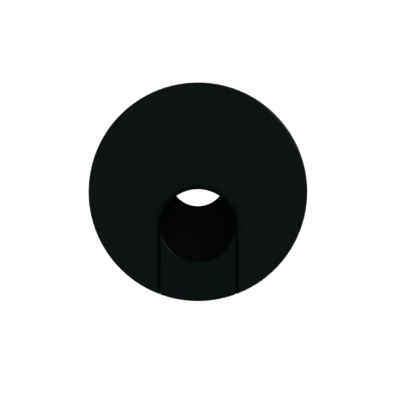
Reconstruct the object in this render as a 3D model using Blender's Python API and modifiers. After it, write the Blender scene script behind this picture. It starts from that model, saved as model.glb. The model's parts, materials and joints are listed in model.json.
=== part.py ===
"""Desk grommet: round cap with a slot tab, flanged liner and a sprung closing flap.

The grommet stands on the lower end of its sleeve, centred on the sleeve's axis,
with the slot running from the cable hole towards -Y.
"""

import math

import bmesh
import bpy
from mathutils import Matrix, Vector

MM = 0.001

# Desk side: the sleeve hangs in the hole, the flange sits on the desk.
SLEEVE_DEPTH = 28.0 * MM
FLANGE_THICKNESS = 2.0 * MM
FLANGE_RADIUS = 37.3 * MM
SLEEVE_RADIUS = 31.3 * MM
BORE_RADIUS = 29.3 * MM
PRESS_RIB_RADIUS = 31.65 * MM
PRESS_RIB_COUNT = 8
FIT_GAP = 0.3 * MM

# Cap
CAP_RADIUS = 40.0 * MM
CAP_PLATE = 3.2 * MM
CAP_WALL = 2.2 * MM
CAP_EDGE = 1.1 * MM
CAP_UNDERSIDE = SLEEVE_DEPTH + FLANGE_THICKNESS + FIT_GAP
CAP_TOP = CAP_UNDERSIDE + CAP_PLATE
CAP_SKIRT_RADIUS = BORE_RADIUS - FIT_GAP
CAP_SKIRT_WALL = 1.8 * MM
CAP_SKIRT_DEPTH = 8.0 * MM
CAP_SKIRT_END_Y = -19.2 * MM

# Slot and cable hole
SLOT_HALF = 14.0 * MM
HOLE_CENTRE_Y = -13.13 * MM
COLLAR_INNER = 14.2 * MM
COLLAR_OUTER = 16.0 * MM
COLLAR_DEPTH = 4.3 * MM
COLLAR_END_Y = -18.0 * MM
GROOVE_DEPTH = 0.9 * MM
GROOVE_LOW = CAP_UNDERSIDE + 0.6 * MM
GROOVE_HIGH = GROOVE_LOW + 1.2 * MM
GROOVE_END_Y = -16.0 * MM
LIP_WIDTH = 2.3 * MM
LIP_ROUND = 2.5 * MM
SLOT_LIP_WIDTH = 1.65 * MM
SLOT_LIP_ROUND = 1.72 * MM
SLOT_LIP_START_Y = HOLE_CENTRE_Y - 1.5 * MM
RIB_ANGLES = (10.0, 50.0, 90.0, 130.0, 170.0)

# Slot tab
TAB_HALF = SLOT_HALF - FIT_GAP
TAB_ARC_RADIUS = 13.6 * MM
TAB_ARC_CENTRE_Y = -11.8 * MM
TAB_HORN_Y = -15.4 * MM
TAB_BEVEL = 0.25 * MM
TAB_LIP_WIDTH = 1.1 * MM
TAB_LIP_ROUND = 1.2 * MM

# Flap and its hinge
HINGE_Y = -22.6 * MM
HINGE_Z = SLEEVE_DEPTH - 4.6 * MM
FLAP_SLOPE = math.radians(18.0)
FLAP_HALF = 15.0 * MM
FLAP_THICKNESS = 1.5 * MM
FLAP_FRONT_Y = 0.0
FLAP_ARC_RADIUS = 10.29 * MM
FLAP_ARC_CENTRE_Y = 4.93 * MM
FLAP_CORNER = 4.0 * MM
BARREL_RADIUS = 2.2 * MM
BARREL_HALF = 11.0 * MM
HEEL_HALF = 9.0 * MM
HEEL_LENGTH = 4.6 * MM
PLATE_RISE = BARREL_RADIUS - FLAP_THICKNESS / 2.0 + 0.1 * MM
PIN_RADIUS = 1.0 * MM
PIN_GAP = 0.1 * MM
PIN_LEFT = -17.3 * MM
PIN_RIGHT = 18.3 * MM
CHEEK_INNER = FLAP_HALF + FIT_GAP
CHEEK_OUTER = 19.5 * MM
SHELF_FRONT_Y = HINGE_Y - BARREL_RADIUS - FIT_GAP
SHELF_LOW = SLEEVE_DEPTH - 9.8 * MM

# Torsion springs
WIRE_RADIUS = 0.35 * MM
COIL_RADIUS = 1.7 * MM
COIL_START = 11.7 * MM
COIL_LENGTH = 2.8 * MM
LEG_RISE_DEGREES = 13.0
COIL_TURNS = 3.0 + LEG_RISE_DEGREES / 360.0
LEG_LENGTH = 8.0 * MM
TAIL_LENGTH = 2.6 * MM

# Countersunk screws through the flange
SCREW_X = 33.9 * MM
SCREW_HEAD_RADIUS = 2.4 * MM
SCREW_SHANK_RADIUS = 0.95 * MM
SCREW_THREAD_RADIUS = 1.25 * MM
SCREW_LENGTH = 15.0 * MM
SCREW_PITCH = 1.0 * MM

ROUND_STEPS = 144

for stale in list(bpy.data.objects):
    bpy.data.objects.remove(stale, do_unlink=True)

scene_root = bpy.context.scene.collection
parts = bpy.data.collections.new("desk_grommet")
cutters = bpy.data.collections.new("cutters")
scene_root.children.link(parts)
scene_root.children.link(cutters)


def make_material(name, colour, roughness, metallic):
    material = bpy.data.materials.new(name)
    material.use_nodes = True
    shader = material.node_tree.nodes["Principled BSDF"]
    shader.inputs["Base Color"].default_value = (*colour, 1.0)
    shader.inputs["Roughness"].default_value = roughness
    shader.inputs["Metallic"].default_value = metallic
    material.diffuse_color = (*colour, 1.0)
    return material


def arc(centre, radius, start, end, count):
    """Points on an arc, both ends included, angles in degrees."""
    points = []
    for step in range(count + 1):
        angle = math.radians(start + (end - start) * step / count)
        points.append((centre[0] + radius * math.cos(angle), centre[1] + radius * math.sin(angle)))
    return points


def add_object(name, mesh, collection):
    obj = bpy.data.objects.new(name, mesh)
    collection.objects.link(obj)
    if collection is cutters:
        obj.hide_render = True
        obj.display_type = "WIRE"
    return obj


def smooth(obj, angle=35.0):
    """Smooth shading that keeps edges sharper than the angle."""
    mesh = obj.data
    for polygon in mesh.polygons:
        polygon.use_smooth = True
    mesh.set_sharp_from_angle(angle=math.radians(angle))


def revolve(name, profile, collection, steps=ROUND_STEPS):
    """Profile of (radius, height) turned about the local Z axis; a ring's profile is closed."""
    mesh = bpy.data.meshes.new(name)
    count = len(profile)
    edges = [(i, i + 1) for i in range(count - 1)]
    if profile[0][0] > 0.0:
        edges.append((count - 1, 0))
    mesh.from_pydata([(r, 0.0, z) for r, z in profile], edges, [])
    obj = add_object(name, mesh, collection)
    screw = obj.modifiers.new("turn", "SCREW")
    screw.angle = math.tau
    screw.steps = steps
    screw.render_steps = steps
    screw.use_merge_vertices = True
    screw.merge_threshold = 0.00001
    screw.use_smooth_shade = False
    return obj


def slab(name, outline, low, high, collection, edge=0.0, edge_steps=3):
    """Flat outline extruded from low to high, with its edges rounded when asked."""
    curve = bpy.data.curves.new(name, "CURVE")
    curve.dimensions = "2D"
    curve.fill_mode = "BOTH"
    curve.extrude = (high - low) / 2.0 - edge
    curve.bevel_depth = edge
    curve.bevel_resolution = edge_steps
    curve.offset = -edge
    spline = curve.splines.new("POLY")
    spline.points.add(len(outline) - 1)
    for point, (x, y) in zip(spline.points, outline):
        point.co = (x, y, 0.0, 1.0)
    spline.use_cyclic_u = True
    holder = bpy.data.objects.new(name, curve)
    scene_root.objects.link(holder)
    bpy.context.view_layer.update()
    evaluated = holder.evaluated_get(bpy.context.evaluated_depsgraph_get())
    mesh = bpy.data.meshes.new_from_object(evaluated)
    bpy.data.objects.remove(holder, do_unlink=True)
    bpy.data.curves.remove(curve)
    mesh.name = name
    mesh.transform(Matrix.Translation((0.0, 0.0, (low + high) / 2.0)))
    shape = bmesh.new()
    shape.from_mesh(mesh)
    bmesh.ops.remove_doubles(shape, verts=shape.verts, dist=0.000002)
    bmesh.ops.dissolve_limit(
        shape, angle_limit=math.radians(0.1), verts=shape.verts, edges=shape.edges
    )
    bmesh.ops.recalc_face_normals(shape, faces=shape.faces)
    shape.to_mesh(mesh)
    shape.free()
    return add_object(name, mesh, collection)


def side_slab(name, outline, low, high, collection):
    """Outline in (y, z) extruded along X."""
    obj = slab(name, outline, low, high, collection)
    turn = Matrix(((0.0, 0.0, 1.0, 0.0), (1.0, 0.0, 0.0, 0.0), (0.0, 1.0, 0.0, 0.0), (0.0, 0.0, 0.0, 1.0)))
    obj.data.transform(turn)
    return obj


def block(name, low, high, collection):
    """Rectangular block between two corners."""
    shape = bmesh.new()
    bmesh.ops.create_cube(shape, size=1.0)
    size = Vector(high) - Vector(low)
    middle = (Vector(high) + Vector(low)) / 2.0
    shape.transform(Matrix.Translation(middle) @ Matrix.Diagonal((*size, 1.0)))
    mesh = bpy.data.meshes.new(name)
    shape.to_mesh(mesh)
    shape.free()
    return add_object(name, mesh, collection)


def rod(name, radius, low, high, collection, axis="X", steps=48):
    """Round bar along an axis through the origin."""
    shape = bmesh.new()
    bmesh.ops.create_cone(
        shape, cap_ends=True, segments=steps, radius1=radius, radius2=radius, depth=high - low
    )
    shape.transform(Matrix.Translation((0.0, 0.0, (low + high) / 2.0)))
    if axis == "X":
        shape.transform(Matrix.Rotation(math.radians(90.0), 4, "Y"))
    mesh = bpy.data.meshes.new(name)
    shape.to_mesh(mesh)
    shape.free()
    return add_object(name, mesh, collection)


def combine(target, tool, operation):
    modifier = target.modifiers.new(operation.lower() + "_" + tool.name, "BOOLEAN")
    modifier.operation = operation
    modifier.solver = "EXACT"
    modifier.object = tool


def settle(obj, material, smooth_angle=35.0):
    """Work the modifiers into the mesh and give it its material."""
    bpy.context.view_layer.update()
    evaluated = obj.evaluated_get(bpy.context.evaluated_depsgraph_get())
    mesh = bpy.data.meshes.new_from_object(evaluated)
    obj.modifiers.clear()
    mesh.name = obj.name
    obj.data = mesh
    mesh.materials.clear()
    mesh.materials.append(material)
    shape = bmesh.new()
    shape.from_mesh(mesh)
    bmesh.ops.remove_doubles(shape, verts=shape.verts, dist=0.000002)
    bmesh.ops.dissolve_degenerate(shape, edges=shape.edges, dist=0.000001)
    shape.to_mesh(mesh)
    shape.free()
    for polygon in mesh.polygons:
        polygon.material_index = 0
    smooth(obj, smooth_angle)


black_plastic = make_material("black_plastic", (0.0048, 0.0075, 0.0075), 0.48, 0.0)
flap_plastic = make_material("flap_plastic", (0.0035, 0.0040, 0.0040), 0.62, 0.0)
liner_plastic = make_material("liner_plastic", (0.0045, 0.0052, 0.0054), 0.58, 0.0)
pin_steel = make_material("pin_steel", (0.55, 0.55, 0.54), 0.28, 1.0)
spring_steel = make_material("spring_steel", (0.42, 0.42, 0.43), 0.32, 1.0)
screw_zinc = make_material("screw_zinc", (0.60, 0.60, 0.58), 0.35, 1.0)


def lip_cutter(name, centre_y, radius, width, rounding):
    """Turned cutter that rounds the top edge of a hole of this radius over the given width."""
    lowest = CAP_TOP - rounding
    turn = [(0.0, CAP_TOP + 1.0 * MM), (radius + width, CAP_TOP + 1.0 * MM)]
    turn += arc((radius + width, lowest), rounding, 90.0, 175.0, 10)
    turn.append((0.0, turn[-1][1]))
    cutter = revolve(name, turn, cutters)
    cutter.location = (0.0, centre_y, 0.0)
    return cutter


def slot_lip_cutter(name, side):
    """Straight cutter that rounds one top edge of the slot, from the rim to the hole."""
    length = CAP_RADIUS + SLOT_LIP_START_Y + 10.0 * MM
    above = CAP_TOP + 1.0 * MM
    edge = SLOT_HALF + SLOT_LIP_WIDTH
    centre = (edge, CAP_TOP - SLOT_LIP_ROUND)
    outline = arc(centre, SLOT_LIP_ROUND, 90.0, 170.0, 10)
    outline += [(outline[-1][0] - 0.5 * MM, outline[-1][1])]
    outline += [(outline[-1][0], above), (edge, above)]
    cutter = slab(name, [(side * x, z) for x, z in outline], 0.0, length, cutters)
    upright = Matrix.Rotation(math.radians(90.0), 4, "X")
    cutter.data.transform(Matrix.Translation((0.0, SLOT_LIP_START_Y, 0.0)) @ upright)
    return cutter


def rim_y(x):
    return -math.sqrt(CAP_RADIUS**2 - x**2)


def build_cap():
    corner = math.degrees(math.atan2(rim_y(SLOT_HALF), SLOT_HALF))
    outline = arc((0.0, 0.0), CAP_RADIUS, corner, 180.0 - corner, ROUND_STEPS - 16)
    outline += arc((0.0, HOLE_CENTRE_Y), SLOT_HALF, 180.0, 0.0, 48)
    skirt_low = CAP_UNDERSIDE - CAP_SKIRT_DEPTH
    wall_low = SLEEVE_DEPTH + FIT_GAP
    cap = slab("cap", outline, wall_low - 2.0 * CAP_EDGE, CAP_TOP, parts, CAP_EDGE)

    below = block("cap_below", (-50 * MM, -50 * MM, 15 * MM), (50 * MM, 50 * MM, wall_low), cutters)
    pocket = rod(
        "cap_pocket", CAP_RADIUS - CAP_WALL, 15 * MM, CAP_UNDERSIDE, cutters, axis="Z", steps=ROUND_STEPS
    )
    combine(cap, below, "DIFFERENCE")
    combine(cap, pocket, "DIFFERENCE")
    for side in (-1, 1):
        inner = side * (SLOT_HALF - 1.0 * MM)
        outer = side * (SLOT_HALF + GROOVE_DEPTH)
        groove = block(
            "cap_groove_%d" % side,
            (min(inner, outer), -50 * MM, GROOVE_LOW),
            (max(inner, outer), GROOVE_END_Y, GROOVE_HIGH),
            cutters,
        )
        combine(cap, groove, "DIFFERENCE")

    lip = lip_cutter("cap_lip", HOLE_CENTRE_Y, SLOT_HALF, LIP_WIDTH, LIP_ROUND)
    combine(cap, lip, "DIFFERENCE")
    for side in (-1, 1):
        combine(cap, slot_lip_cutter("cap_slot_lip_%d" % side, side), "DIFFERENCE")

    outer_wall = [(COLLAR_OUTER, COLLAR_END_Y)]
    outer_wall += arc((0.0, HOLE_CENTRE_Y), COLLAR_OUTER, 0.0, 180.0, 48)
    outer_wall += [(-COLLAR_OUTER, COLLAR_END_Y), (-COLLAR_INNER, COLLAR_END_Y)]
    outer_wall += arc((0.0, HOLE_CENTRE_Y), COLLAR_INNER, 180.0, 0.0, 48)
    outer_wall += [(COLLAR_INNER, COLLAR_END_Y)]
    collar = slab("cap_collar", outer_wall, CAP_UNDERSIDE - COLLAR_DEPTH, CAP_UNDERSIDE + 0.4 * MM, cutters)
    combine(cap, collar, "UNION")

    inner_radius = CAP_SKIRT_RADIUS - CAP_SKIRT_WALL
    skirt = revolve(
        "cap_skirt",
        [
            (inner_radius, CAP_UNDERSIDE + 0.5 * MM),
            (CAP_SKIRT_RADIUS, CAP_UNDERSIDE + 0.5 * MM),
            (CAP_SKIRT_RADIUS, skirt_low + 1.2 * MM),
            (CAP_SKIRT_RADIUS - 0.6 * MM, skirt_low),
            (inner_radius + 0.3 * MM, skirt_low),
            (inner_radius, skirt_low + 0.3 * MM),
        ],
        cutters,
    )
    skirt_end = block(
        "cap_skirt_end", (-50 * MM, -50 * MM, 15 * MM), (50 * MM, CAP_SKIRT_END_Y, 40 * MM), cutters
    )
    combine(skirt, skirt_end, "DIFFERENCE")
    combine(cap, skirt, "UNION")

    start = (COLLAR_INNER + COLLAR_OUTER) / 2.0
    reach_radius = CAP_SKIRT_RADIUS - 0.5 * CAP_SKIRT_WALL
    for number, degrees in enumerate(RIB_ANGLES):
        angle = math.radians(degrees)
        along = HOLE_CENTRE_Y * math.sin(angle)
        reach = -along + math.sqrt(along**2 + reach_radius**2 - HOLE_CENTRE_Y**2)
        rib = block(
            "cap_rib_%d" % number,
            (start, -0.6 * MM, CAP_UNDERSIDE - 1.6 * MM),
            (reach, 0.6 * MM, CAP_UNDERSIDE + 0.3 * MM),
            cutters,
        )
        place = Matrix.Translation((0.0, HOLE_CENTRE_Y, 0.0)) @ Matrix.Rotation(angle, 4, "Z")
        rib.data.transform(place)
        combine(cap, rib, "UNION")
    settle(cap, black_plastic)


def build_slot_tab():
    horn = math.degrees(math.asin((TAB_HORN_Y - TAB_ARC_CENTRE_Y) / TAB_ARC_RADIUS))
    wall_low = SLEEVE_DEPTH + FIT_GAP
    outline = [(-TAB_HALF, -CAP_RADIUS - 2.0 * MM), (TAB_HALF, -CAP_RADIUS - 2.0 * MM)]
    outline += [(TAB_HALF, TAB_HORN_Y)]
    outline += arc((0.0, TAB_ARC_CENTRE_Y), TAB_ARC_RADIUS, horn, -180.0 - horn, 44)
    outline += [(-TAB_HALF, TAB_HORN_Y)]
    tab = slab("slot_tab", outline, wall_low, CAP_TOP, parts)
    bevel = tab.modifiers.new("edge", "BEVEL")
    bevel.width = TAB_BEVEL
    bevel.segments = 2
    bevel.limit_method = "ANGLE"
    bevel.angle_limit = math.radians(50.0)
    disc = [(0.0, CAP_TOP + 1.0 * MM), (CAP_RADIUS - CAP_EDGE, CAP_TOP + 1.0 * MM)]
    disc += arc((CAP_RADIUS - CAP_EDGE, CAP_TOP - CAP_EDGE), CAP_EDGE, 90.0, 0.0, 8)
    disc += [(CAP_RADIUS, wall_low - 1.0 * MM), (0.0, wall_low - 1.0 * MM)]
    rim = revolve("tab_rim", disc, cutters)
    combine(tab, rim, "INTERSECT")
    pocket = rod(
        "tab_pocket", CAP_RADIUS - CAP_WALL, 15 * MM, CAP_UNDERSIDE, cutters, axis="Z", steps=ROUND_STEPS
    )
    combine(tab, pocket, "DIFFERENCE")
    lip = lip_cutter("tab_lip", TAB_ARC_CENTRE_Y, TAB_ARC_RADIUS, TAB_LIP_WIDTH, TAB_LIP_ROUND)
    combine(tab, lip, "DIFFERENCE")
    reach = rod(
        "tab_reach", CAP_RADIUS - FIT_GAP, 15 * MM, 40 * MM, cutters, axis="Z", steps=ROUND_STEPS
    )
    for side in (-1, 1):
        inner = side * (TAB_HALF - 0.8 * MM)
        outer = side * (TAB_HALF + GROOVE_DEPTH)
        tongue = block(
            "tab_tongue_%d" % side,
            (min(inner, outer), -50 * MM, GROOVE_LOW + FIT_GAP),
            (max(inner, outer), GROOVE_END_Y - FIT_GAP, GROOVE_HIGH - FIT_GAP),
            cutters,
        )
        combine(tongue, reach, "INTERSECT")
        combine(tab, tongue, "UNION")
    settle(tab, black_plastic)


def build_liner():
    flange_top = SLEEVE_DEPTH + FLANGE_THICKNESS
    liner = revolve(
        "liner",
        [
            (BORE_RADIUS, flange_top),
            (FLANGE_RADIUS - 0.6 * MM, flange_top),
            (FLANGE_RADIUS, flange_top - 0.6 * MM),
            (FLANGE_RADIUS, SLEEVE_DEPTH),
            (SLEEVE_RADIUS, SLEEVE_DEPTH),
            (SLEEVE_RADIUS, 1.5 * MM),
            (SLEEVE_RADIUS - 0.7 * MM, 0.0),
            (BORE_RADIUS + 0.2 * MM, 0.0),
            (BORE_RADIUS, 0.4 * MM),
        ],
        parts,
    )
    for number in range(PRESS_RIB_COUNT):
        angle = math.tau * (number + 0.5) / PRESS_RIB_COUNT
        rib = side_slab(
            "liner_rib_%d" % number,
            [
                (SLEEVE_RADIUS - 0.6 * MM, 3.0 * MM),
                (PRESS_RIB_RADIUS, 5.0 * MM),
                (PRESS_RIB_RADIUS, SLEEVE_DEPTH - 2.0 * MM),
                (SLEEVE_RADIUS - 0.6 * MM, SLEEVE_DEPTH - 1.0 * MM),
            ],
            -0.6 * MM,
            0.6 * MM,
            cutters,
        )
        rib.data.transform(Matrix.Rotation(angle, 4, "Z"))
        combine(liner, rib, "UNION")

    slope = math.tan(FLAP_SLOPE)
    back_y = -31.0 * MM
    underside = PLATE_RISE - FLAP_THICKNESS / 2.0
    heel_under = HINGE_Z + underside / math.cos(FLAP_SLOPE) - FIT_GAP
    shelf_top = heel_under + (HINGE_Y - SHELF_FRONT_Y) * slope
    shelf = side_slab(
        "liner_shelf",
        [
            (back_y, SHELF_LOW),
            (SHELF_FRONT_Y, SHELF_LOW),
            (SHELF_FRONT_Y, shelf_top),
            (back_y, shelf_top + (SHELF_FRONT_Y - back_y) * slope),
        ],
        -CHEEK_INNER - 1.0 * MM,
        CHEEK_INNER + 1.0 * MM,
        cutters,
    )
    cheek_outline = [(back_y, SHELF_LOW - 0.4 * MM), (HINGE_Y - 1.0 * MM, SHELF_LOW - 0.4 * MM)]
    cheek_outline += arc((HINGE_Y, HINGE_Z), 2.8 * MM, -20.0, 90.0, 16)
    cheek_outline += [(back_y, HINGE_Z + 2.8 * MM)]
    for side in (-1, 1):
        low = min(side * CHEEK_INNER, side * CHEEK_OUTER)
        high = max(side * CHEEK_INNER, side * CHEEK_OUTER)
        cheek = side_slab("liner_cheek_%d" % side, cheek_outline, low, high, cutters)
        combine(shelf, cheek, "UNION")
    keep = rod(
        "liner_keep", SLEEVE_RADIUS - 0.9 * MM, 0.0, 40 * MM, cutters, axis="Z", steps=ROUND_STEPS
    )
    combine(shelf, keep, "INTERSECT")
    combine(liner, shelf, "UNION")

    pin_hole = rod("liner_pin_hole", PIN_RADIUS + PIN_GAP, PIN_LEFT - 0.4 * MM, 34 * MM, cutters, steps=32)
    pin_hole.data.transform(Matrix.Translation((0.0, HINGE_Y, HINGE_Z)))
    combine(liner, pin_hole, "DIFFERENCE")
    sweep = math.hypot(COIL_RADIUS, TAIL_LENGTH) + WIRE_RADIUS + FIT_GAP
    for side in (-1, 1):
        middle = side * COIL_START
        slot = rod(
            "liner_slot_%d" % side, sweep, middle - 0.75 * MM, middle + 0.75 * MM, cutters, steps=48
        )
        slot.data.transform(Matrix.Translation((0.0, HINGE_Y, HINGE_Z)))
        combine(liner, slot, "DIFFERENCE")
        hole_radius = SCREW_THREAD_RADIUS + FIT_GAP
        head_radius = SCREW_HEAD_RADIUS + FIT_GAP
        hole = revolve(
            "liner_screw_hole_%d" % side,
            [
                (0.0, flange_top + 1.0 * MM),
                (head_radius, flange_top + 1.0 * MM),
                (head_radius, flange_top - FIT_GAP),
                (hole_radius, flange_top - FIT_GAP - head_radius + hole_radius),
                (hole_radius, SLEEVE_DEPTH - 1.0 * MM),
                (0.0, SLEEVE_DEPTH - 1.0 * MM),
            ],
            cutters,
            steps=48,
        )
        hole.location = (side * SCREW_X, 0.0, 0.0)
        combine(liner, hole, "DIFFERENCE")
    settle(liner, liner_plastic)


def build_flap():
    stretch = 1.0 / math.cos(FLAP_SLOPE)
    half_opening = math.degrees(math.asin((FLAP_FRONT_Y - FLAP_ARC_CENTRE_Y) / FLAP_ARC_RADIUS))
    plate_y = HINGE_Y + PLATE_RISE * math.sin(FLAP_SLOPE)
    front = (FLAP_FRONT_Y - plate_y) * stretch
    outline = [(FLAP_HALF, 0.0)]
    outline += arc((FLAP_HALF - FLAP_CORNER, front - FLAP_CORNER), FLAP_CORNER, 0.0, 90.0, 12)
    concave = arc((0.0, FLAP_ARC_CENTRE_Y), FLAP_ARC_RADIUS, half_opening, -180.0 - half_opening, 36)
    outline += [(x, (y - plate_y) * stretch) for x, y in concave]
    outline += arc((FLAP_CORNER - FLAP_HALF, front - FLAP_CORNER), FLAP_CORNER, 90.0, 180.0, 12)
    outline += [(-FLAP_HALF, 0.0)]
    plate_low = PLATE_RISE - FLAP_THICKNESS / 2.0
    plate_top = plate_low + FLAP_THICKNESS
    flap = slab("flap", outline, plate_low, plate_top, parts)
    bevel = flap.modifiers.new("edge", "BEVEL")
    bevel.width = 0.3 * MM
    bevel.segments = 2
    bevel.limit_method = "ANGLE"
    bevel.angle_limit = math.radians(50.0)

    tools = []
    heel = block(
        "flap_heel", (-HEEL_HALF, -HEEL_LENGTH, plate_low), (HEEL_HALF, 1.0 * MM, plate_top), cutters
    )
    barrel = rod("flap_barrel", BARREL_RADIUS, -BARREL_HALF, BARREL_HALF, cutters)
    tools += [(heel, "UNION"), (barrel, "UNION")]
    for side in (-1, 1):
        rib = side_slab(
            "flap_rib_%d" % side,
            [
                (1.5 * MM, PLATE_RISE),
                (1.5 * MM, -BARREL_RADIUS + 0.3 * MM),
                (14.0 * MM, plate_low - 0.4 * MM),
                (14.0 * MM, PLATE_RISE),
            ],
            side * 6.0 * MM - 0.6 * MM,
            side * 6.0 * MM + 0.6 * MM,
            cutters,
        )
        low = min(side * BARREL_HALF, side * CHEEK_INNER)
        high = max(side * BARREL_HALF, side * CHEEK_INNER)
        window = block(
            "flap_window_%d" % side, (low, -3.0 * MM, -3.0 * MM), (high, 2.4 * MM, 3.0 * MM), cutters
        )
        tools += [(window, "DIFFERENCE"), (rib, "UNION")]
    bore = rod("flap_bore", PIN_RADIUS + PIN_GAP, -20.0 * MM, 20.0 * MM, cutters, steps=32)
    tools.append((bore, "DIFFERENCE"))
    for tool, operation in tools:
        combine(flap, tool, operation)
    settle(flap, flap_plastic)
    flap.data.transform(Matrix.Rotation(-FLAP_SLOPE, 4, "X"))
    flap.location = (0.0, HINGE_Y, HINGE_Z)


def build_pin():
    middle = (PIN_LEFT + PIN_RIGHT) / 2.0
    half = (PIN_RIGHT - PIN_LEFT) / 2.0
    pin = revolve(
        "hinge_pin",
        [
            (0.0, half),
            (PIN_RADIUS - 0.2 * MM, half),
            (PIN_RADIUS, half - 0.2 * MM),
            (PIN_RADIUS, -half + 0.2 * MM),
            (PIN_RADIUS - 0.2 * MM, -half),
            (0.0, -half),
        ],
        parts,
        steps=40,
    )
    settle(pin, pin_steel, 50.0)
    pin.data.transform(Matrix.Rotation(math.radians(90.0), 4, "Y"))
    pin.location = (middle, HINGE_Y, HINGE_Z)


def build_spring(side):
    """Coil round the pin, a leg rising to the flap's underside and a tail in the liner's slot."""
    per_turn = 28
    count = int(COIL_TURNS * per_turn)
    path = [(COIL_START, -TAIL_LENGTH, -COIL_RADIUS)]
    for step in range(count + 1):
        angle = math.tau * COIL_TURNS * step / count - math.pi / 2.0
        along = COIL_START + COIL_LENGTH * step / count
        path.append((along, COIL_RADIUS * math.cos(angle), COIL_RADIUS * math.sin(angle)))
    last = Vector(path[-1])
    before = Vector(path[-2])
    path.append(tuple(last + (last - before).normalized() * LEG_LENGTH))
    name = "torsion_spring_right" if side > 0 else "torsion_spring_left"
    curve = bpy.data.curves.new(name, "CURVE")
    curve.dimensions = "3D"
    curve.bevel_depth = WIRE_RADIUS
    curve.bevel_resolution = 2
    curve.use_fill_caps = True
    spline = curve.splines.new("POLY")
    spline.points.add(len(path) - 1)
    for point, (x, y, z) in zip(spline.points, path):
        point.co = (side * x, y, z, 1.0)
    holder = bpy.data.objects.new(name, curve)
    scene_root.objects.link(holder)
    bpy.context.view_layer.update()
    evaluated = holder.evaluated_get(bpy.context.evaluated_depsgraph_get())
    mesh = bpy.data.meshes.new_from_object(evaluated)
    bpy.data.objects.remove(holder, do_unlink=True)
    bpy.data.curves.remove(curve)
    shape = bmesh.new()
    shape.from_mesh(mesh)
    bmesh.ops.remove_doubles(shape, verts=shape.verts, dist=0.000001)
    bmesh.ops.recalc_face_normals(shape, faces=shape.faces)
    shape.to_mesh(mesh)
    shape.free()
    mesh.name = name
    spring = add_object(name, mesh, parts)
    settle(spring, spring_steel, 60.0)
    spring.data.transform(Matrix.Rotation(-FLAP_SLOPE, 4, "X"))
    spring.location = (0.0, HINGE_Y, HINGE_Z)


def build_screw(side):
    top = SLEEVE_DEPTH + FLANGE_THICKNESS - FIT_GAP
    neck = top - SCREW_HEAD_RADIUS + SCREW_SHANK_RADIUS
    tip = top - SCREW_LENGTH
    profile = [(0.0, top), (SCREW_HEAD_RADIUS - 0.1 * MM, top), (SCREW_HEAD_RADIUS, top - 0.1 * MM)]
    profile.append((SCREW_SHANK_RADIUS, neck))
    turns = int((neck - tip - 3.0 * MM) / SCREW_PITCH)
    for turn in range(turns):
        crest = neck - 0.8 * MM - SCREW_PITCH * (turn + 0.5)
        profile.append((SCREW_SHANK_RADIUS, crest + 0.35 * SCREW_PITCH))
        profile.append((SCREW_THREAD_RADIUS, crest))
        profile.append((SCREW_SHANK_RADIUS, crest - 0.35 * SCREW_PITCH))
    profile.append((0.2 * MM, tip))
    profile.append((0.0, tip))
    name = "liner_screw_right" if side > 0 else "liner_screw_left"
    screw = revolve(name, [(r, z - top) for r, z in profile], parts, steps=36)
    for number in range(2):
        low = (-1.3 * MM, -0.3 * MM, -1.0 * MM)
        high = (1.3 * MM, 0.3 * MM, 1.0 * MM)
        recess = block("%s_recess_%d" % (name, number), low, high, cutters)
        recess.data.transform(Matrix.Rotation(math.radians(45.0 + 90.0 * number), 4, "Z"))
        combine(screw, recess, "DIFFERENCE")
    settle(screw, screw_zinc, 30.0)
    screw.location = (side * SCREW_X, 0.0, top)


build_liner()
build_cap()
build_slot_tab()
build_flap()
build_pin()
for hand in (-1, 1):
    build_spring(hand)
    build_screw(hand)
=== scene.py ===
import json
import math

import bmesh
import bpy
from mathutils import Matrix, Vector


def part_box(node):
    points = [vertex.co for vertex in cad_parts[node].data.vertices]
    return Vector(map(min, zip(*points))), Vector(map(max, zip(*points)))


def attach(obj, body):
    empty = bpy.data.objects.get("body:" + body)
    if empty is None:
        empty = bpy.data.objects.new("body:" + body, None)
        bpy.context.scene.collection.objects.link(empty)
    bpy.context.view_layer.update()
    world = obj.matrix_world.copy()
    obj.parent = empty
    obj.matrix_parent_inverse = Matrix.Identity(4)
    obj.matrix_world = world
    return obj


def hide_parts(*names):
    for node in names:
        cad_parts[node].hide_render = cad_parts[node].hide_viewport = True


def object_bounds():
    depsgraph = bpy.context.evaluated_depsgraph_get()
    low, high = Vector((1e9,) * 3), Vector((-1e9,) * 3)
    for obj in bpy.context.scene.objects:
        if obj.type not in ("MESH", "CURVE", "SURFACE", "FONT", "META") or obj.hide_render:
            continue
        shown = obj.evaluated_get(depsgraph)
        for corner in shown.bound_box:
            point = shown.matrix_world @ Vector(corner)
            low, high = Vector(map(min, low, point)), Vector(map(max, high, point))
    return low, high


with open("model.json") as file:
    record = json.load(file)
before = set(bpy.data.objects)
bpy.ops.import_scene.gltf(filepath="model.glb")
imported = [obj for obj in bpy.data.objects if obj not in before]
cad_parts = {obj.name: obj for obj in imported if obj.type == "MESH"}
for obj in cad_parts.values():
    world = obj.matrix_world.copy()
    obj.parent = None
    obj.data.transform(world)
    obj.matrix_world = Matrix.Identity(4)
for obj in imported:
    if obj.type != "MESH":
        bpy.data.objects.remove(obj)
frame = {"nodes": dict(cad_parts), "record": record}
cad_low, cad_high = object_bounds()

scene = bpy.context.scene
scene.view_settings.view_transform = "Standard"
scene.view_settings.look = "None"
scene.view_settings.exposure = 0.0
scene.view_settings.gamma = 1.0

MM = 0.001


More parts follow.
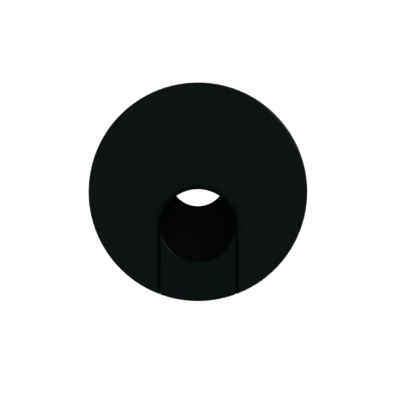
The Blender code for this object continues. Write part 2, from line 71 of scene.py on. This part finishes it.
# ---------------------------------------------------------------- materials
class Shader:
    """A Principled material with object-space coordinates, in metres."""

    def __init__(self, name, roughness=0.5, metallic=0.0, ior=1.5, specular=0.5):
        self.material = bpy.data.materials.new(name)
        self.material.use_nodes = True
        self.tree = self.material.node_tree
        self.surface = self.tree.nodes["Principled BSDF"]
        self.surface.inputs["Roughness"].default_value = roughness
        self.surface.inputs["Metallic"].default_value = metallic
        self.surface.inputs["IOR"].default_value = ior
        self.surface.inputs["Specular IOR Level"].default_value = specular
        self.place = self.tree.nodes.new("ShaderNodeTexCoord").outputs["Object"]

    def link(self, source, target):
        self.tree.links.new(source, target)

    def stretch(self, x, y, z):
        """Coordinates scaled along each axis, for grain that runs one way."""
        node = self.tree.nodes.new("ShaderNodeMapping")
        node.inputs["Scale"].default_value = (x, y, z)
        self.link(self.place, node.inputs["Vector"])
        return node.outputs["Vector"]

    def noise(self, size, detail=4.0, roughness=0.55, vector=None, distortion=0.0):
        """Noise with features about size metres across."""
        node = self.tree.nodes.new("ShaderNodeTexNoise")
        node.inputs["Scale"].default_value = 1.0 / size
        node.inputs["Detail"].default_value = detail
        node.inputs["Roughness"].default_value = roughness
        node.inputs["Distortion"].default_value = distortion
        self.link(vector or self.place, node.inputs["Vector"])
        return node.outputs["Fac"]

    def cells(self, size):
        """Cells about size metres across, 0 at the middle of each."""
        node = self.tree.nodes.new("ShaderNodeTexVoronoi")
        node.feature = "F1"
        node.inputs["Scale"].default_value = 1.0 / size
        self.link(self.place, node.inputs["Vector"])
        return node.outputs["Distance"]

    def remap(self, value, low, high, to_low, to_high):
        """A value from low..high moved to to_low..to_high, and held at its ends."""
        node = self.tree.nodes.new("ShaderNodeMapRange")
        node.inputs["From Min"].default_value = low
        node.inputs["From Max"].default_value = high
        node.inputs["To Min"].default_value = to_low
        node.inputs["To Max"].default_value = to_high
        self.link(value, node.inputs["Value"])
        return node.outputs["Result"]

    def math(self, operation, first, second):
        """A Math node on two numbers or sockets."""
        node = self.tree.nodes.new("ShaderNodeMath")
        node.operation = operation
        for socket, value in zip(node.inputs, (first, second)):
            if isinstance(value, (int, float)):
                socket.default_value = value
            else:
                self.link(value, socket)
        return node.outputs["Value"]

    def mix(self, factor, first, second):
        """Colour between two colours or colour sockets."""
        node = self.tree.nodes.new("ShaderNodeMix")
        node.data_type = "RGBA"
        self.link(factor, node.inputs["Factor"])
        colour_sockets = node.inputs[6], node.inputs[7]
        for socket, value in zip(colour_sockets, (first, second)):
            if isinstance(value, tuple):
                socket.default_value = (*value, 1.0)
            else:
                self.link(value, socket)
        return node.outputs[2]

    def ring(self, centre_y, radius, width):
        """1 on an upright circle of this radius, falling to 0 at width from it."""
        shift = self.tree.nodes.new("ShaderNodeMapping")
        shift.vector_type = "POINT"
        shift.inputs["Location"].default_value = (0.0, -centre_y, 0.0)
        shift.inputs["Scale"].default_value = (1.0, 1.0, 0.0)
        self.link(self.place, shift.inputs["Vector"])
        reach = self.tree.nodes.new("ShaderNodeVectorMath")
        reach.operation = "LENGTH"
        self.link(shift.outputs["Vector"], reach.inputs[0])
        off = self.math("ABSOLUTE", self.math("SUBTRACT", reach.outputs["Value"], radius), 0.0)
        return self.remap(off, 0.0, width, 1.0, 0.0)

    def bump(self, height, depth):
        """A normal from a height of 0 to 1, depth metres deep."""
        node = self.tree.nodes.new("ShaderNodeBump")
        node.inputs["Distance"].default_value = depth
        node.inputs["Strength"].default_value = 1.0
        self.link(height, node.inputs["Height"])
        return node.outputs["Normal"]

    def colour(self, socket):
        self.link(socket, self.surface.inputs["Base Color"])

    def roughness(self, socket):
        self.link(socket, self.surface.inputs["Roughness"])

    def normal(self, socket):
        self.link(socket, self.surface.inputs["Normal"])


def grained_plastic(
    name, colour, rough, grain=0.28 * MM, depth=0.018 * MM, specular=0.35, edges=()
):
    """Moulded plastic with a spark-eroded grain, cloudy gloss, a few scuffs and handled edges.

    Each edge is (centre_y, radius, width) of a round edge that hands and cables have polished.
    """
    s = Shader(name, rough, 0.0, 1.49, specular)
    clouds = s.noise(14 * MM, 3.0)
    mottle = s.noise(1.6 * MM, 4.0, 0.6)
    pits = s.cells(grain)
    fine = s.noise(grain * 0.6, 3.0, 0.6)
    scuffs = s.noise(3.2 * MM, 6.0, 0.7, s.stretch(1.0, 0.12, 1.0), 0.6)
    dark = tuple(c * 0.88 for c in colour)
    light = tuple(c * 1.13 for c in colour)
    tone = s.remap(s.math("ADD", clouds, mottle), 0.75, 1.25, 0.0, 1.0)
    s.colour(s.mix(tone, dark, light))
    worn = s.remap(scuffs, 0.62, 0.78, 0.0, 0.10)
    cloudy = s.remap(clouds, 0.3, 0.7, rough + 0.04, rough - 0.04)
    rough_now = s.math("SUBTRACT", cloudy, worn)
    handled = s.noise(2.4 * MM, 4.0, 0.6)
    for centre_y, radius, width in edges:
        patchy = s.remap(handled, 0.35, 0.65, 0.2, 1.0)
        band = s.math("MULTIPLY", s.ring(centre_y, radius, width), patchy)
        rough_now = s.math("SUBTRACT", rough_now, s.math("MULTIPLY", band, 0.06))
    s.roughness(rough_now)
    height = s.math("ADD", s.math("MULTIPLY", pits, 0.7), s.math("MULTIPLY", fine, 0.6))
    s.normal(s.bump(height, depth))
    return s.material


def drawn_steel(name, colour, rough, along, metallic=1.0):
    """Steel with fine lines, drawn out by along, and faint tarnish; plating is less metallic."""
    s = Shader(name, rough, metallic, 1.5, 0.5)
    lines = s.noise(0.12 * MM, 3.0, 0.6, s.stretch(*along))
    tarnish = s.noise(1.8 * MM, 5.0, 0.65)
    dull = tuple(c * 0.72 for c in colour)
    s.colour(s.mix(s.remap(tarnish, 0.4, 0.68, 0.0, 1.0), colour, dull))
    s.roughness(s.remap(lines, 0.3, 0.7, rough - 0.06, rough + 0.08))
    s.normal(s.bump(lines, 0.004 * MM))
    return s.material


CAP_BLACK = (0.0017, 0.0047, 0.0048)
TAB_BLACK = (0.0010, 0.0041, 0.0042)
LINER_BLACK = (0.0085, 0.0095, 0.0097)
# the flap's black plastic is made darker still than the cap's as painted shade, standing in for
# the shade deep in the hole
FLAP_BLACK_AND_PAINTED_SHADE = (0.0007, 0.0007, 0.0007)

ALONG_PIN = (0.05, 1.0, 1.0)
EVEN = (1.0, 1.0, 1.0)

# each is the centre's y, the radius and the width of a polished edge
RIM_EDGE = (0.0, 39.4 * MM, 0.9 * MM)
HOLE_EDGE = (-13.13 * MM, 14.9 * MM, 1.2 * MM)
TAB_EDGE = (-11.8 * MM, 14.2 * MM, 0.8 * MM)

looks = {
    "cap": grained_plastic("cap_plastic", CAP_BLACK, 0.34, edges=(RIM_EDGE, HOLE_EDGE)),
    "slot_tab": grained_plastic("tab_plastic", TAB_BLACK, 0.33, edges=(RIM_EDGE, TAB_EDGE)),
    "liner": grained_plastic("liner_plastic", LINER_BLACK, 0.42, 0.4 * MM),
    # flap: black plastic darkened further as painted shade of the hole
    "flap": grained_plastic("flap_plastic", FLAP_BLACK_AND_PAINTED_SHADE, 0.60, 0.35 * MM),
    "hinge_pin": drawn_steel("pin_steel", (0.56, 0.56, 0.55), 0.26, ALONG_PIN),
    "torsion_spring_left": drawn_steel("spring_steel", (0.42, 0.42, 0.43), 0.36, EVEN, 0.80),
    "liner_screw_left": drawn_steel("screw_zinc", (0.62, 0.62, 0.60), 0.42, EVEN, 0.72),
}
looks["torsion_spring_right"] = looks["torsion_spring_left"]
looks["liner_screw_right"] = looks["liner_screw_left"]
for name, material in looks.items():
    node = frame["nodes"][name]
    for slot in node.material_slots:
        slot.material = material


# ---------------------------------------------------------------- screws and springs
SCREW_CORE, SCREW_CREST, SCREW_PITCH = 0.95 * MM, 1.25 * MM, 1.0 * MM
SCREW_POINT = 3.0 * MM
SCREW_SIDES, SCREW_STEPS = 40, 150
HEAD_RIM = 0.1 * MM
THREAD_GAP, THREAD_RUN_IN, RIDGE_HALF = 0.6 * MM, 1.2 * MM, 0.32
WING_FOOT, WING_TOP, WING_DEPTH = 0.5 * MM, 1.6 * MM, 2.0 * MM
WING_DROP, WING_THINNESS = 0.5 * MM, 0.32
COIL_TURNS, COIL_STEPS = 3.0, 48
WIRE_RADIUS, COIL_RADIUS, COIL_LENGTH = 0.35 * MM, 1.7 * MM, 2.8 * MM
LEG_LENGTH, TAIL_LENGTH, LEG_RISE = 8.0 * MM, 2.6 * MM, math.radians(13.0)
FLAP_SLOPE = math.radians(18.0)


def piece(name, mesh, material, body, replaced, smooth_angle=40.0):
    """A finished mesh that rides on a body in place of a CAD node."""
    obj = bpy.data.objects.new(name, mesh)
    scene.collection.objects.link(obj)
    mesh.materials.clear()
    mesh.materials.append(material)
    for polygon in mesh.polygons:
        polygon.use_smooth = True
    mesh.set_sharp_from_angle(angle=math.radians(smooth_angle))
    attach(obj, body)
    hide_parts(replaced)
    return obj


def evaluated_mesh(obj):
    """The mesh that an object's modifiers or curve give, with the object removed."""
    bpy.context.view_layer.update()
    graph = bpy.context.evaluated_depsgraph_get()
    mesh = bpy.data.meshes.new_from_object(obj.evaluated_get(graph))
    bpy.data.objects.remove(obj, do_unlink=True)
    return mesh


def screw_radius(depth, turn, length, head):
    """Radius at a depth below the head's top, with a helical thread and a drawn-out point."""
    neck = head - SCREW_CORE
    if depth < neck:
        return head - max(depth - HEAD_RIM, 0.0) * neck / (neck - HEAD_RIM)
    point = min(1.0, (length - depth) / SCREW_POINT)
    start = min(1.0, max(0.0, (depth - neck - THREAD_GAP) / THREAD_RUN_IN))
    phase = (depth / SCREW_PITCH - turn) % 1.0
    ridge = max(0.0, 1.0 - abs(phase - 0.5) / RIDGE_HALF)
    core = SCREW_CORE * (0.12 + 0.88 * point)
    return core + (SCREW_CREST - SCREW_CORE) * ridge * start * math.sqrt(point)


def make_screw(node, material):
    """Countersunk screw: one helical surface, with a cross recess in its head."""
    low, high = (Vector(corner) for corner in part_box(node))
    middle = (low + high) / 2.0
    head, length = (high.x - low.x) / 2.0, high.z - low.z
    shape = bmesh.new()
    rings = []
    for step in range(SCREW_STEPS + 1):
        depth = length * step / SCREW_STEPS
        ring = []
        for side in range(SCREW_SIDES):
            turn = side / SCREW_SIDES
            radius = screw_radius(depth, turn, length, head)
            x, y = radius * math.cos(math.tau * turn), radius * math.sin(math.tau * turn)
            ring.append(shape.verts.new((middle.x + x, middle.y + y, high.z - depth)))
        rings.append(ring)
    for upper, lower in zip(rings, rings[1:]):
        for side in range(SCREW_SIDES):
            after = (side + 1) % SCREW_SIDES
            shape.faces.new((upper[side], lower[side], lower[after], upper[after]))
    shape.faces.new(rings[0])
    shape.faces.new(list(reversed(rings[-1])))
    bmesh.ops.recalc_face_normals(shape, faces=shape.faces)
    mesh = bpy.data.meshes.new(node + "_threaded")
    shape.to_mesh(mesh)
    shape.free()
    blank = bpy.data.objects.new("blank", mesh)
    scene.collection.objects.link(blank)
    wings = []
    for number in range(2):
        wing = bmesh.new()
        bmesh.ops.create_cone(
            wing,
            cap_ends=True,
            segments=4,
            radius1=WING_FOOT,
            radius2=WING_TOP,
            depth=WING_DEPTH,
        )
        wing.transform(Matrix.Rotation(math.radians(45.0), 4, "Z"))
        wing.transform(Matrix.Diagonal((1.0, WING_THINNESS, 1.0, 1.0)))
        wing.transform(Matrix.Rotation(math.radians(45.0 + 90.0 * number), 4, "Z"))
        wing.transform(Matrix.Translation((middle.x, middle.y, high.z - WING_DROP)))
        cutter_mesh = bpy.data.meshes.new("wing")
        wing.to_mesh(cutter_mesh)
        wing.free()
        cutter = bpy.data.objects.new("wing_%d" % number, cutter_mesh)
        scene.collection.objects.link(cutter)
        cut = blank.modifiers.new("recess_%d" % number, "BOOLEAN")
        cut.operation = "DIFFERENCE"
        cut.solver = "EXACT"
        cut.object = cutter
        wings.append(cutter)
    threaded = evaluated_mesh(blank)
    for cutter in wings:
        bpy.data.objects.remove(cutter, do_unlink=True)
    piece(node + "_threaded", threaded, material, "liner_body", node)


def make_spring(node, side, hinge, material):
    """Torsion spring of round wire: tail, coil round the pin, and a leg up to the flap."""
    low, high = (Vector(corner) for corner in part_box(node))
    start = min(abs(low.x), abs(high.x)) + WIRE_RADIUS
    turns = COIL_TURNS + LEG_RISE / math.tau
    count = int(turns * COIL_STEPS)
    path = [Vector((start, -TAIL_LENGTH, -COIL_RADIUS))]
    for step in range(count + 1):
        angle = math.tau * turns * step / count - math.pi / 2.0
        across = start + COIL_LENGTH * step / count
        y, z = COIL_RADIUS * math.cos(angle), COIL_RADIUS * math.sin(angle)
        path.append(Vector((across, y, z)))
    path.append(path[-1] + (path[-1] - path[-2]).normalized() * LEG_LENGTH)
    curve = bpy.data.curves.new(node + "_wire", "CURVE")
    curve.dimensions = "3D"
    curve.bevel_depth = WIRE_RADIUS
    curve.bevel_resolution = 5
    curve.use_fill_caps = True
    spline = curve.splines.new("POLY")
    spline.points.add(len(path) - 1)
    for point, place in zip(spline.points, path):
        point.co = (side * place.x, place.y, place.z, 1.0)
    holder = bpy.data.objects.new("holder", curve)
    scene.collection.objects.link(holder)
    mesh = evaluated_mesh(holder)
    shape = bmesh.new()
    shape.from_mesh(mesh)
    bmesh.ops.remove_doubles(shape, verts=shape.verts, dist=0.001 * MM)
    bmesh.ops.recalc_face_normals(shape, faces=shape.faces)
    shape.to_mesh(mesh)
    shape.free()
    mesh.transform(Matrix.Translation(hinge) @ Matrix.Rotation(-FLAP_SLOPE, 4, "X"))
    piece(node + "_wire", mesh, material, "flap_body", node)


joints = frame["record"]["behaviour"]["joints"]
hinge = Vector(next(joint["pos_m"] for joint in joints if joint["name"] == "flap_swing"))
for side, word in ((-1, "left"), (1, "right")):
    screw, spring = "liner_screw_" + word, "torsion_spring_" + word
    make_screw(screw, looks[screw])
    make_spring(spring, side, hinge, looks[spring])


# ---------------------------------------------------------------- floor, light and camera
FLOOR_HALF, FLOOR_GAP = 4.0, 0.0001
BORE_INNER, BORE_OUTER, FLANGE_SHADE = 0.0295, 0.0305, 0.0400
# the first glow strength is a painted pool of light on the floor inside the bore, where the
# sleeve's shade falls; the second is the floor's even glow
PAINTED_BORE_LIGHT, GLOW_OUTSIDE = 1.0, 0.62
# the floor's light on the object as painted shadow: dim inside the bore, rising to full past the
# flange's shade
PAINTED_SHADE_LIGHT_INSIDE, LIGHT_OUTSIDE = 0.12, 0.34
HORIZON, ZENITH = 0.35, 0.92
WORLD_TOP, WORLD_LOW = 0.055, 0.012
CAMERA_DISTANCE, SENSOR_WIDTH = 1.2, 36.0
CAP_SHARE, CAP_LEFT, CAP_UP = 0.5479, 0.00522, 0.02062


def make_floor():
    """White paper that the camera sees glowing evenly, brighter still inside the bore as a
    painted pool of light where the sleeve's shade falls; it lights the object far more dimly,
    with painted shadow under the cap.
    """
    mesh = bpy.data.meshes.new("floor")
    corners = [(-1, -1), (1, -1), (1, 1), (-1, 1)]
    level = cad_low.z - FLOOR_GAP
    points = [(x * FLOOR_HALF, y * FLOOR_HALF, level) for x, y in corners]
    mesh.from_pydata(points, [], [(0, 1, 2, 3)])
    obj = bpy.data.objects.new("floor", mesh)
    scene.collection.objects.link(obj)
    s = Shader("floor_paper", 0.9, 0.0, 1.45, 0.1)
    s.colour(s.mix(s.noise(40 * MM, 3.0), (0.84, 0.84, 0.84), (0.87, 0.87, 0.87)))
    reach = s.tree.nodes.new("ShaderNodeVectorMath")
    reach.operation = "LENGTH"
    s.link(s.place, reach.inputs[0])
    radius = reach.outputs["Value"]
    # painted light: the floor glows at full strength inside the bore, in place of the sleeve's
    # shade there
    glow_and_painted_bore_light = s.remap(radius, BORE_INNER, BORE_OUTER, PAINTED_BORE_LIGHT, GLOW_OUTSIDE)
    s.surface.inputs["Emission Color"].default_value = (1.0, 1.0, 1.0, 1.0)
    s.link(glow_and_painted_bore_light, s.surface.inputs["Emission Strength"])
    # painted shadow: the light the floor gives the object is darkest under the cap, in place of
    # the cap's shadow on the floor
    dim = s.tree.nodes.new("ShaderNodeEmission")
    light = s.remap(radius, BORE_OUTER, FLANGE_SHADE, PAINTED_SHADE_LIGHT_INSIDE, LIGHT_OUTSIDE)
    s.link(light, dim.inputs["Strength"])
    path = s.tree.nodes.new("ShaderNodeLightPath")
    choose = s.tree.nodes.new("ShaderNodeMixShader")
    out = s.tree.nodes["Material Output"]
    s.link(path.outputs["Is Camera Ray"], choose.inputs[0])
    s.link(dim.outputs[0], choose.inputs[1])
    s.link(s.surface.outputs[0], choose.inputs[2])
    s.link(choose.outputs[0], out.inputs["Surface"])
    mesh.materials.append(s.material)


def make_world():
    """White to the camera; for light, soft overhead and dim towards the horizon."""
    world = bpy.data.worlds.new("studio")
    scene.world = world
    world.use_nodes = True
    tree = world.node_tree
    out = tree.nodes["World Output"]
    dim = tree.nodes["Background"]
    dim.inputs["Color"].default_value = (1.0, 1.0, 1.0, 1.0)
    split = tree.nodes.new("ShaderNodeSeparateXYZ")
    tree.links.new(tree.nodes.new("ShaderNodeTexCoord").outputs["Generated"], split.inputs[0])
    ramp = tree.nodes.new("ShaderNodeMapRange")
    ramp.interpolation_type = "SMOOTHSTEP"
    ramp.inputs["From Min"].default_value = HORIZON
    ramp.inputs["From Max"].default_value = ZENITH
    ramp.inputs["To Min"].default_value = WORLD_LOW
    ramp.inputs["To Max"].default_value = WORLD_TOP
    tree.links.new(split.outputs["Z"], ramp.inputs["Value"])
    tree.links.new(ramp.outputs["Result"], dim.inputs["Strength"])
    seen = tree.nodes.new("ShaderNodeBackground")
    seen.inputs["Color"].default_value = (1.0, 1.0, 1.0, 1.0)
    seen.inputs["Strength"].default_value = 1.0
    path = tree.nodes.new("ShaderNodeLightPath")
    choose = tree.nodes.new("ShaderNodeMixShader")
    tree.links.new(path.outputs["Is Camera Ray"], choose.inputs[0])
    tree.links.new(dim.outputs[0], choose.inputs[1])
    tree.links.new(seen.outputs[0], choose.inputs[2])
    tree.links.new(choose.outputs[0], out.inputs["Surface"])


def softbox(name, azimuth, elevation, distance, size, radiance, glossy=True):
    """Square area light aimed at the cap; azimuth is measured from +X towards +Y."""
    a, e = math.radians(azimuth), math.radians(elevation)
    target = Vector((0.0, 0.0, cad_high.z))
    way = Vector((math.cos(a) * math.cos(e), math.sin(a) * math.cos(e), math.sin(e)))
    data = bpy.data.lights.new(name, "AREA")
    data.shape = "SQUARE"
    data.size = size
    data.energy = radiance * math.pi * size * size
    obj = bpy.data.objects.new(name, data)
    obj.location = target + way * distance
    obj.rotation_mode = "QUATERNION"
    obj.rotation_quaternion = (-way).to_track_quat("-Z", "Y")
    obj.visible_glossy = glossy
    scene.collection.objects.link(obj)


def make_camera():
    """Straight down on the cap, which sits a little left of and above the middle."""
    cap_low, cap_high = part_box("cap")
    width = (cap_high[0] - cap_low[0]) / CAP_SHARE
    data = bpy.data.cameras.new("camera")
    data.sensor_width = SENSOR_WIDTH
    data.lens = SENSOR_WIDTH * CAMERA_DISTANCE / width
    data.clip_start = 0.05
    data.clip_end = 20.0
    camera = bpy.data.objects.new("camera", data)
    scene.collection.objects.link(camera)
    camera.location = (width * CAP_LEFT, -width * CAP_UP, cad_high.z + CAMERA_DISTANCE)
    scene.camera = camera


make_floor()
make_world()
softbox("overhead", 90.0, 90.0, 1.8, 1.5, 4.5, glossy=False)
softbox("key", 39.0, 20.0, 1.1, 0.45, 2.0)
for word, azimuth in (("left", 180.0), ("right", 0.0), ("front", 270.0), ("back", 90.0)):
    softbox("side_" + word, azimuth, 6.0, 1.1, 0.5, 0.9, glossy=False)
make_camera()
